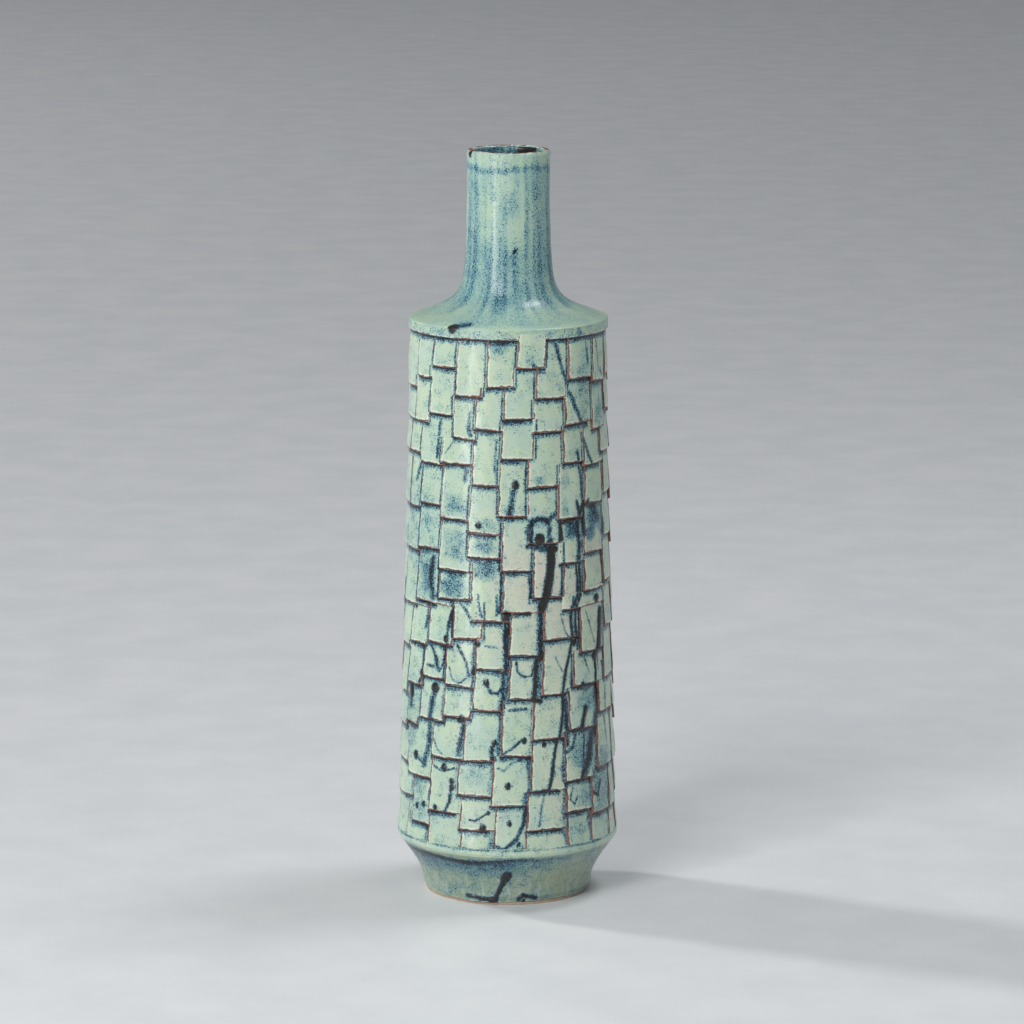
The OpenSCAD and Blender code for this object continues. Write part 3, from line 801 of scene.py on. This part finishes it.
def upper_band_shape(a, z, r):
    values = marked(a, z)
    values["navy"] *= 0.6
    values["blue"] += 0.3
    edge = FIELD_TOP + 0.25 * sine(a, 5) + 0.2 * sine(a, 11, 40)
    worn = 0.5 + 0.5 * sine(a, 7, 20) * sine(a, 3)
    values["rust"] = smooth(1.3, 0.2, np.abs(z - edge)) * (0.45 + 0.45 * worn)
    return values, hand_waves(a, z, 0.05) + swelling(values["black"])


def dark_line_at(a, z):
    """The wavering height at which the collar's dark glaze begins."""
    return z + 0.8 * sine(a, 3) + 0.5 * sine(a, 7, 60)


def collar_blue(a):
    """The dark blue zone on the collar: strong on the front left, weak on the right."""
    return 0.25 + 0.75 * smooth(0.1, 0.9, np.cos(np.radians(a + 48)))


def lower_band_shape(a, z, r):
    values = blank(a)
    values["navy"] = 0.5 * smooth(0.6, -0.6, z - dark_line_at(a, 27.4)) * collar_blue(a)
    broken = 0.25 + 0.45 * (0.5 + 0.5 * sine(a, 5) * sine(a, 11, 70))
    line = smooth(1.0, 0.2, np.abs(z - FIELD_BOTTOM + 0.7))
    values["side"] = broken * line * (r > WIDEST_R - 1)
    return values, hand_waves(a, z, 0.05)


# The black drip low on the collar, and the small dark arc beside it: points and width.
FOOT_RUNS = [
    ([(0.2, 16.6), (-1.4, 14.8)], 4.3),
    ([(-1.6, 14.4), (-5.0, 8.4), (-8, 3.4)], 1.9),
    ([(-7.5, 3.2), (-11.5, 2.4)], 2.2),
    ([(-10, 2.7), (-17, 3.2), (-28, 4.4)], 1.1),
    ([(7.5, 3.4), (10.5, 5.3), (15, 4.6), (20, 3.4)], 1.2),
    ([(10.5, 1.6), (11.5, 2.2)], 1.0),
]
FAR_SIDE = 187.0     # how far round the same mark comes again


def foot_mark(a, z, values):
    for path, width in FOOT_RUNS:
        for turn in (0.0, FAR_SIDE):
            near = turned(path[0][0] + turn, 180.0)
            away = aside(a, near)
            d = path_distance(near + away, z, path, turn, 0.0, near)
            here = np.abs(away) < BEAD_REACH
            raise_to(values, "black", np.where(here, 1 - d / width, 0))
            raise_to(values, "navy", np.where(here, 0.9 * (1 - (d - width / 2) / 1.2), 0))


def collar_shape(a, z, r):
    values = blank(a)
    edge = dark_line_at(a, 26.6)
    down = smooth(edge + 0.5, edge - 1.0, z)
    fade = 1 - 0.8 * smooth(24, 13, z)
    values["blue"] = 1.35 * down * fade * collar_blue(a)
    values["pool_and_shade"] = 0.5 * smooth(2.6, 0.0, np.abs(z - edge + 1.0)) * collar_blue(a)
    drip = np.abs(aside(a, 14) + 4 * np.sin(z / 6))
    values["warm"] = 0.3 * smooth(8, 3, drip) * down
    foot_mark(a, z, values)
    return values, hand_waves(a, z, 0.07) + swelling(values["black"])


def ring_shape(a, z, r):
    values = blank(a)
    edge = 1.1 + 0.3 * sine(a, 4) + 0.2 * sine(a, 9, 50)
    values["bare"] = smooth(edge + 0.3, edge - 0.2, z)
    values["rust"] = smooth(edge + 1.6, edge, z)
    values["blue"] += 0.3
    foot_mark(a, z, values)
    return values, hand_waves(a, z, 0.05) + swelling(values["black"])


# Marks on the shoulder: angle, radius, size, what they are and how strong.
SHOULDER_MARKS = [
    (-33.5, 49.6, 2.9, "black", 1.0), (-30.5, 48.2, 2.4, "blue", 2.2),
    (-27.5, 47.0, 2.2, "blue", 2.2), (-25, 46.2, 1.8, "blue", 2.2),
]


def shoulder_shape(a, z, r):
    values = blank(a)
    front = smooth(60, 15, np.abs(aside(a, 0.0)))
    centre = 0.2 + 0.25 * front + 0.4 * smooth(36, 26, r)
    values["blue"] = centre * smooth(SHOULDER_R, SHOULDER_R - 6, r)
    values["streak"] = streaks(a, z) * smooth(SHOULDER_R - 4, SHOULDER_R - 20, r)
    x, y = r * np.sin(np.radians(a)), -r * np.cos(np.radians(a))
    for turn in (0.0, FAR_SIDE):
        for place, radius, size, key, strength in SHOULDER_MARKS:
            at = np.radians(place + turn)
            d = np.hypot(x - radius * np.sin(at), y + radius * np.cos(at))
            raise_to(values, key, strength * unit(1 - d / (2 * size)))
    return values, hand_waves(a, z, 0.08) + swelling(values["black"])


# Pale windows in the neck's speckle: angle, height, half width in degrees, half height.
NECK_WINDOWS = [
    (-28, 343, 11, 13), (6, 340, 12, 9), (-4, 366, 14, 6), (20, 356, 5, 18), (150, 350, 14, 16),
    (190, 336, 9, 10), (232, 352, 6, 20), (95, 344, 7, 14), (280, 348, 8, 10),
]
NECK_FLECK = (9, 331)       # angle and height of a dark slanting fleck
NECK_RING_Z = 371.5         # height of the ring of speckle below the lip
LIP_BEADS = [(-66.0, TOTAL_H - 1.7, 2.0), (102.0, TOTAL_H - 3.0, 1.1)]
LIP_DRIP = 145.0            # where glaze ran black down the inside of the lip


def lip_mm(degrees):
    """Degrees round the lip as millimetres."""
    return degrees * (LIP_R * math.pi / 180)


def neck_shape(a, z, r):
    values = blank(a)
    left_low = np.exp(-((a + 50) / 30) ** 2 - ((z - 328) / 12) ** 2)
    blue = 0.5 + 0.28 * smooth(350, 325, z) - 0.25 * smooth(368, 377, z) + 0.4 * left_low
    wander = 0.8 * sine(a, 3) + 0.5 * sine(a, 13)
    blue += 0.5 * smooth(2.6, 0.4, np.abs(z - NECK_RING_Z - wander))
    for place, h, wide, tall in NECK_WINDOWS:
        blue -= 0.45 * smooth(1.4, 0.2, np.hypot(aside(a, place) / wide, (z - h) / tall))
    values["blue"], values["streak"] = blue, streaks(a, z)
    across, up = lip_mm(aside(a, NECK_FLECK[0])), z - NECK_FLECK[1]
    fleck = np.hypot((across + 0.8 * up) / 2.4, (across - 0.8 * up))
    values["navy"] = 0.9 * smooth(1.3, 0.4, fleck)
    return values, hand_waves(a, z, 0.06)


def lip_shape(a, z, r):
    values = blank(a)
    middle = (LIP_R + MOUTH_R) / 2
    crest = np.hypot(r - middle, z - TOTAL_H)
    broken = 0.5 + 0.5 * sine(a, 3, 30) * sine(a, 7)
    values["rust"] = smooth(2.0, 0.9, crest) * (0.55 + 0.3 * broken)
    values["blue"] += 0.25
    values["streak"] = 0.6 * streaks(a, z)
    values["pool_and_shade"] = 0.42 * smooth(MOUTH_R + 1.1, MOUTH_R + 0.2, r)
    for place, h, size in LIP_BEADS:
        d = np.hypot(lip_mm(aside(a, place)), z - h)
        raise_to(values, "black", unit(1 - d / (2 * size)))
    inside = smooth(MOUTH_R + 0.9, MOUTH_R + 0.3, r)
    raise_to(values, "black", smooth(26, 14, np.abs(aside(a, LIP_DRIP))) * inside)
    return values, hand_waves(a, z, 0.06)


# ---- materials

def srgb(r, g, b):
    """A colour given as 0 to 255 display values, as Blender's linear values."""
    def linear(c):
        c = c / 255
        return c / 12.92 if c <= 0.04045 else ((c + 0.055) / 1.055) ** 2.4
    return (linear(r), linear(g), linear(b), 1.0)


GROG = srgb(120, 100, 82)


class Nodes:
    """Short calls for building a material's nodes."""

    def __init__(self, name):
        self.material = bpy.data.materials.new(name)
        self.material.use_nodes = True
        self.tree = self.material.node_tree
        self.shader = self.tree.nodes["Principled BSDF"]
        self.place = self.tree.nodes.new("ShaderNodeTexCoord").outputs["Object"]

    def link(self, value, socket):
        if isinstance(value, bpy.types.NodeSocket):
            self.tree.links.new(value, socket)
        else:
            socket.default_value = value

    def set(self, name, value):
        self.link(value, self.shader.inputs[name])

    def attribute(self, name):
        node = self.tree.nodes.new("ShaderNodeAttribute")
        node.attribute_name = name
        return node.outputs["Fac"]

    def math(self, operation, a, b=0.0, c=0.0):
        node = self.tree.nodes.new("ShaderNodeMath")
        node.operation = operation
        for value, socket in zip((a, b, c), node.inputs):
            self.link(value, socket)
        return node.outputs[0]

    def noise(self, scale, detail=3.0, roughness=0.55, stretch=1.0):
        """Noise whose grain is 1/scale millimetres across, and 1/(scale*stretch) high."""
        place = self.tree.nodes.new("ShaderNodeMapping")
        self.link(self.place, place.inputs["Vector"])
        place.inputs["Scale"].default_value = (scale / MM, scale / MM, scale * stretch / MM)
        node = self.tree.nodes.new("ShaderNodeTexNoise")
        self.link(place.outputs[0], node.inputs["Vector"])
        node.inputs["Scale"].default_value = 1.0
        node.inputs["Detail"].default_value = detail
        node.inputs["Roughness"].default_value = roughness
        return node.outputs["Fac"]

    def range(self, value, low, high, to_low=0.0, to_high=1.0):
        node = self.tree.nodes.new("ShaderNodeMapRange")
        node.interpolation_type = "SMOOTHSTEP"
        for socket, number in zip(node.inputs, (value, low, high, to_low, to_high)):
            self.link(number, socket)
        return node.outputs[0]

    def broken(self, value, noise, amount):
        """A value with its edges broken up by a noise."""
        return self.math("MULTIPLY_ADD", self.math("SUBTRACT", noise, 0.5), amount, value)

    def mix(self, share, a, b):
        node = self.tree.nodes.new("ShaderNodeMix")
        node.data_type = "RGBA"
        self.link(share, node.inputs["Factor"])
        self.link(a, node.inputs[6])
        self.link(b, node.inputs[7])
        return node.outputs[2]

    def bump(self, height_value, distance_mm):
        node = self.tree.nodes.new("ShaderNodeBump")
        node.inputs["Distance"].default_value = distance_mm * MM
        self.link(height_value, node.inputs["Height"])
        return node.outputs[0]


def glaze(name, pale, cool, roughness=0.34, wash=(112, 160, 157), cloud=0.25):
    """Reactive glaze: rust brown where thin, and teal, navy and black as it thickens, with painted
    shade under edges, a painted highlight beside proud edges, and painted reflection streaks.
    """
    n = Nodes(name)
    teal, blue = srgb(*wash), srgb(50, 102, 134)
    navy, ink = srgb(26, 52, 78), srgb(12, 14, 20)
    rust_light, rust_dark = srgb(134, 88, 72), srgb(74, 50, 48)
    thin_glaze_and_sheen, warm_clay = srgb(214, 222, 204), srgb(206, 203, 186)
    iron, iron_light = srgb(24, 22, 22), srgb(46, 44, 36)

    broad = n.noise(0.07, 2.0)
    patches = n.noise(0.17, 3.0, 0.6)
    mottle = n.noise(0.9, 4.0, 0.6)
    sheen_streaks = n.noise(0.45, 3.0, 0.6, stretch=0.12)
    grain = n.noise(1.45, 1.5, 0.6)

    ground = n.mix(n.range(broad, 0.38, 0.62), pale, cool)
    ground = n.mix(n.math("MULTIPLY", n.attribute("tone"), 0.4), ground, srgb(194, 210, 176))
    # Painted reflection: soft upright lavender-grey streaks, a window's sheen painted into the
    # glaze colour.
    ground = n.mix(n.range(sheen_streaks, 0.5, 0.7, 0.0, 0.5), ground, srgb(196, 203, 203))
    ground = n.mix(n.range(mottle, 0.4, 0.7, 0.0, 0.15), ground, srgb(150, 178, 164))
    warm = n.math("MULTIPLY", n.attribute("warm"), n.range(mottle, 0.3, 0.6, 0.6, 1.0))
    ground = n.mix(warm, ground, warm_clay)

    # Thin glaze beside a proud edge, painted paler as a highlight on its bevel, and rust brown on
    # the edge itself.
    edge = n.broken(n.attribute("rust"), mottle, 0.5)
    ground = n.mix(n.range(edge, 0.2, 0.5, 0.0, 0.9), ground, thin_glaze_and_sheen)
    rust = n.range(n.broken(edge, n.noise(0.3, 2.0), 0.7), 0.57, 0.73)
    rust_colour = n.mix(n.range(patches, 0.36, 0.56), rust_dark, rust_light)

    # The glaze's thickness, with a fine grain that breaks its colours into specks.
    thick = n.math("MAXIMUM", n.attribute("navy"), n.attribute("pool_and_shade"))
    thick = n.math("MAXIMUM", thick, n.math("MULTIPLY", n.attribute("side"), 0.9))
    thick = n.math("MULTIPLY_ADD", n.attribute("blue"), 0.46, thick)
    thick = n.math("MULTIPLY_ADD", n.range(patches, 0.4, 0.66), cloud, thick)
    thick = n.math("MULTIPLY_ADD", n.attribute("streak"), 0.16, thick)
    ground = n.mix(n.range(thick, 0.1, 0.7, 0.0, 0.65), ground, teal)
    cloudy = n.math("MULTIPLY", n.attribute("blue"), n.range(mottle, 0.3, 0.65, 0.2, 0.5))
    ground = n.mix(cloudy, ground, srgb(86, 148, 162))
    coarse = n.range(thick, 0.0, 0.4, 1.6, 2.3)
    thick = n.broken(n.broken(thick, grain, coarse), mottle, 0.5)
    for low, high, most, colour in ((0.18, 0.4, 0.6, teal), (0.42, 0.6, 0.85, blue),
                                    (0.64, 0.86, 1.0, navy)):
        ground = n.mix(n.range(thick, low, high, 0.0, most), ground, colour)
    # Pooled glaze under a bottom edge goes to ink, made darker as painted shade under the edge.
    dark_pool_and_shade = n.range(n.broken(n.attribute("pool_and_shade"), mottle, 0.5), 0.66, 0.8)
    ground = n.mix(n.math("MAXIMUM", n.range(thick, 0.84, 1.0), dark_pool_and_shade), ground, ink)
    ground = n.mix(rust, ground, rust_colour)

    # Thick black iron drips.
    drips = n.range(n.broken(n.attribute("black"), mottle, 0.2), 0.46, 0.54)
    ground = n.mix(drips, ground, n.mix(n.range(grain, 0.4, 0.7), iron, iron_light))

    # Bare buff clay with dark grog.
    clay = n.mix(n.range(mottle, 0.35, 0.65), srgb(198, 184, 160), srgb(180, 162, 136))
    clay = n.mix(n.range(grain, 0.6, 0.75), clay, GROG)
    bare = n.attribute("bare")
    n.set("Base Color", n.mix(bare, ground, clay))

    matt = n.math("MULTIPLY_ADD", rust, 0.2, n.broken(roughness, mottle, 0.15))
    n.set("Roughness", n.math("MULTIPLY_ADD", bare, 0.5, matt))
    n.set("Coat Weight", 0.2)
    n.set("Coat Roughness", 0.16)
    n.set("Normal", n.bump(n.math("MULTIPLY_ADD", grain, 0.4, mottle), 0.06))
    return n.material


def bare_clay():
    """Unglazed buff stoneware with fine dark grog."""
    n = Nodes("bare_clay")
    broad, sand = n.noise(0.12, 3.0), n.noise(3.2, 3.0, 0.7)
    colour = n.mix(n.range(broad, 0.35, 0.65), srgb(206, 190, 164), srgb(188, 168, 140))
    colour = n.mix(n.range(sand, 0.62, 0.72), colour, GROG)
    n.set("Base Color", colour)
    n.set("Roughness", 0.85)
    n.set("Normal", n.bump(sand, 0.12))
    return n.material


def gap_glaze():
    """The glaze that has filled the gaps between the tiles."""
    n = Nodes("gap_glaze")
    grain = n.noise(2.6, 2.0, 0.65)
    colour = n.mix(n.range(grain, 0.4, 0.6), srgb(40, 60, 78), srgb(96, 128, 128))
    n.set("Base Color", colour)
    n.set("Roughness", n.range(grain, 0.2, 0.8, 0.25, 0.4))
    return n.material


def table_top():
    n = Nodes("pale_floor")
    colour = n.mix(n.range(n.noise(0.02, 4.0), 0.3, 0.7), srgb(230, 232, 234), srgb(223, 226, 229))
    n.set("Base Color", colour)
    n.set("Roughness", 0.45)
    return n.material


# ---- the vase

# How far along its curve the collar ends and the lower band begins, and the shoulder and neck.
COLLAR_SHARE = 0.95
SHOULDER_SHARE = 0.72

# Spacing of the turned pieces' meshes.
SHOULDER_STEP = 0.8
BODY_STEP = 0.7
FINE_STEP = 0.6
LIP_STEP = 0.35


def foot_curve():
    return [(FOOT_R, FOOT_RING_TOP), (FOOT_R + 0.1, 0.42 * WIDEST_Z),
            (WIDEST_R - 6.4, 0.68 * WIDEST_Z), (WIDEST_R, WIDEST_Z)]


def neck_curve():
    edge_z = SHOULDER_Z + 0.2
    return [(SHOULDER_R - 0.3, edge_z + 0.5), (NECK_LOW_R + 2, edge_z + 10.6),
            (NECK_LOW_R + 1.1, edge_z + 9), (NECK_LOW_R, NECK_STRAIGHT_Z)]


def make_upper_band(material):
    wall = float(wall_r(FIELD_TOP))
    start, lap, corner_r = FIELD_TOP - 0.3, 1.2, 0.6
    corner = arc((SHOULDER_R - corner_r, FIELD_TOP + 0.3), corner_r, -90, 0, 5)
    outer = np.concatenate([[[SHOULDER_R - lap, start]], corner, [[SHOULDER_R + 0.05, SHOULDER_Z]]])
    inner = [[wall - WALL_T, SHOULDER_Z], [wall - WALL_T, start]]
    turned_piece("glazed_upper_band", outer, inner, BODY_STEP, material, "band_glaze",
                 upper_band_shape, "upper_band")


def make_lower_band(material):
    wall, top = float(wall_r(FIELD_BOTTOM)), FIELD_BOTTOM + 0.1
    curve = bezier(foot_curve(), np.linspace(COLLAR_SHARE, 1, 8))
    edge = [[WIDEST_R, FIELD_BOTTOM - 0.2], [WIDEST_R - 0.2, top], [wall - 0.5, top]]
    inner = [[wall - WALL_T, top], [curve[0][0] - WALL_T, curve[0][1]]]
    turned_piece("glazed_lower_band", np.concatenate([curve, edge]), inner, BODY_STEP, material,
                 "band_glaze", lower_band_shape, "lower_band")


def make_collar(material):
    outer = bezier(foot_curve(), np.linspace(0, COLLAR_SHARE, 30))
    inner = [p - np.array([WALL_T, 0]) for p in outer[::-1]]
    turned_piece("glazed_collar", outer, inner, BODY_STEP, material, "collar_glaze", collar_shape,
                 "foot_collar")


def make_foot_ring(material):
    """The ring that the vase stands on, glazed down to a thin bare edge."""
    low_r, bevel = FOOT_R - 1.4, 0.6
    inner_r = low_r - RING_W
    outer = [[inner_r + bevel, 0], [low_r - bevel, 0], [low_r - bevel / 4, bevel / 4],
             [low_r, bevel], [FOOT_R, FOOT_RING_TOP]]
    inner = [[inner_r, FOOT_RING_TOP], [inner_r, bevel]]
    turned_piece("glazed_foot_ring", outer, inner, FINE_STEP, material, "collar_glaze",
                 ring_shape, "foot_ring")


def make_shoulder(material):
    """The shoulder; returns the height at which the neck starts."""
    curve = bezier(neck_curve(), np.linspace(0, SHOULDER_SHARE, 40))
    edge = [[SHOULDER_R - 2.5, SHOULDER_Z], [SHOULDER_R, SHOULDER_Z],
            [SHOULDER_R - 0.05, SHOULDER_Z + 0.35]]
    end_z = curve[-1][1]
    inner = [[MOUTH_R, end_z], [MOUTH_R, end_z - 6], [MOUTH_R + 5, SHOULDER_Z + 4.7],
             [SHOULDER_R - 9, SHOULDER_Z + 0.6]]
    turned_piece("glazed_shoulder", np.concatenate([edge, curve]), inner, SHOULDER_STEP, material,
                 "neck_glaze", shoulder_shape, "shoulder")
    return end_z


def make_neck(material, start_z):
    curve = bezier(neck_curve(), np.linspace(SHOULDER_SHARE, 1, 16))
    outer = np.concatenate([curve, NECK_WAIST, [[LIP_R - 0.3, LIP_Z]]])
    inner = [[MOUTH_R, LIP_Z], [MOUTH_R, start_z]]
    turned_piece("glazed_neck", outer, inner, FINE_STEP, material, "neck_glaze", neck_shape,
                 "neck")


def make_lip(material):
    radius = (LIP_R - MOUTH_R) / 2
    crest = arc((MOUTH_R + radius, TOTAL_H - radius), radius, 0, 180, 17)
    outer = np.concatenate([[[LIP_R - 0.3, LIP_Z]], crest, [[MOUTH_R, LIP_Z]]])
    turned_piece("glazed_lip", outer, [[MOUTH_R + 1, LIP_Z]], LIP_STEP, material, "neck_glaze",
                 lip_shape, "lip")


def paint(node, material):
    """Gives a CAD node its material."""
    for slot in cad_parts[node].material_slots:
        slot.material = material


def make_vase():
    tile_glaze = glaze("tile_glaze", srgb(190, 210, 182), srgb(178, 203, 187))
    neck_glaze = glaze("neck_glaze", srgb(180, 206, 178), srgb(160, 194, 180), roughness=0.36,
                       wash=(102, 152, 158), cloud=0.1)
    collar_glaze = glaze("collar_glaze", srgb(140, 152, 124), srgb(124, 138, 116), roughness=0.28,
                         wash=(98, 138, 134))
    for c in range(COLUMN_COUNT):
        make_tile_column(c, tile_glaze)
    make_upper_band(tile_glaze)
    make_lower_band(tile_glaze)
    make_collar(collar_glaze)
    make_foot_ring(collar_glaze)
    start_z = make_shoulder(neck_glaze)
    make_neck(neck_glaze, start_z)
    make_lip(neck_glaze)
    paint("base_floor", bare_clay())
    paint("body_wall", gap_glaze())


# ---- camera, floor, light

# Metres, degrees, and the lens in millimetres.
CAMERA_FAR = 2.598       # distance from the vase's axis
CAMERA_UP = 0.6698       # height above the table
CAMERA_SIDE = 0.0021     # how far it stands to the right of the axis
CAMERA_DOWN = 10.36      # tilt
CAMERA_ROLL = 0.11
CAMERA_LENS = 182.85
FLOOR_HALF = 6.0

LIGHT_AIM = Vector((0, 0, 0.22))
# Name, place, width, height, power, colour.
LIGHTS = [
    ("window", (-0.85, -1.6, 1.35), 0.9, 1.2, 23, (1.0, 0.99, 0.97)),
    ("fill", (1.8, -1.0, 0.9), 1.2, 1.4, 2.2, (0.95, 0.98, 1.0)),
    ("tall_window", (-1.15, -1.45, 0.42), 0.16, 0.75, 7, (0.96, 0.96, 1.0)),
    ("high_right", (0.7, 0.3, 1.9), 0.5, 0.5, 9.5, (0.97, 0.98, 1.0)),
    ("low_sun", (-5.6, 3.05, 3.2), 0.7, 0.7, 225, (1.0, 0.99, 0.97)),
]
UNREFLECTED = "low_sun"  # it casts the shadow, and has no highlight of its own on the glaze


def make_camera():
    data = bpy.data.cameras.new("camera")
    data.lens = CAMERA_LENS
    data.sensor_width = 36.0
    camera = bpy.data.objects.new("camera", data)
    camera.location = (CAMERA_SIDE, -CAMERA_FAR, CAMERA_UP)
    tilt = Matrix.Rotation(math.radians(90 - CAMERA_DOWN), 3, "X")
    roll = Matrix.Rotation(math.radians(CAMERA_ROLL), 3, "Z")
    camera.rotation_euler = (tilt @ roll).to_euler()
    bpy.context.scene.collection.objects.link(camera)
    bpy.context.scene.camera = camera


def make_floor():
    corners = [(x * FLOOR_HALF, y * FLOOR_HALF, 0) for x, y in ((-1, -1), (1, -1), (1, 1), (-1, 1))]
    mesh = bpy.data.meshes.new("floor")
    mesh.from_pydata(corners, [], [(0, 1, 2, 3)])
    mesh.materials.append(table_top())
    floor = bpy.data.objects.new("floor", mesh)
    bpy.context.scene.collection.objects.link(floor)


def area_light(name, place, width, tall, power, colour):
    data = bpy.data.lights.new(name, "AREA")
    data.shape = "RECTANGLE"
    data.size, data.size_y = width, tall
    data.energy = power
    data.color = colour
    light = bpy.data.objects.new(name, data)
    light.location = place
    light.rotation_euler = (LIGHT_AIM - light.location).to_track_quat("-Z", "Y").to_euler()
    light.visible_glossy = name != UNREFLECTED
    bpy.context.scene.collection.objects.link(light)


def make_lights():
    for light in LIGHTS:
        area_light(*light)
    world = bpy.data.worlds.new("studio")
    world.use_nodes = True
    sky = world.node_tree.nodes["Background"]
    sky.inputs["Color"].default_value = (0.83, 0.86, 0.9, 1.0)
    sky.inputs["Strength"].default_value = 0.23
    bpy.context.scene.world = world
    bpy.context.scene.view_settings.view_transform = "Standard"


make_camera()
make_floor()
make_lights()
make_vase()
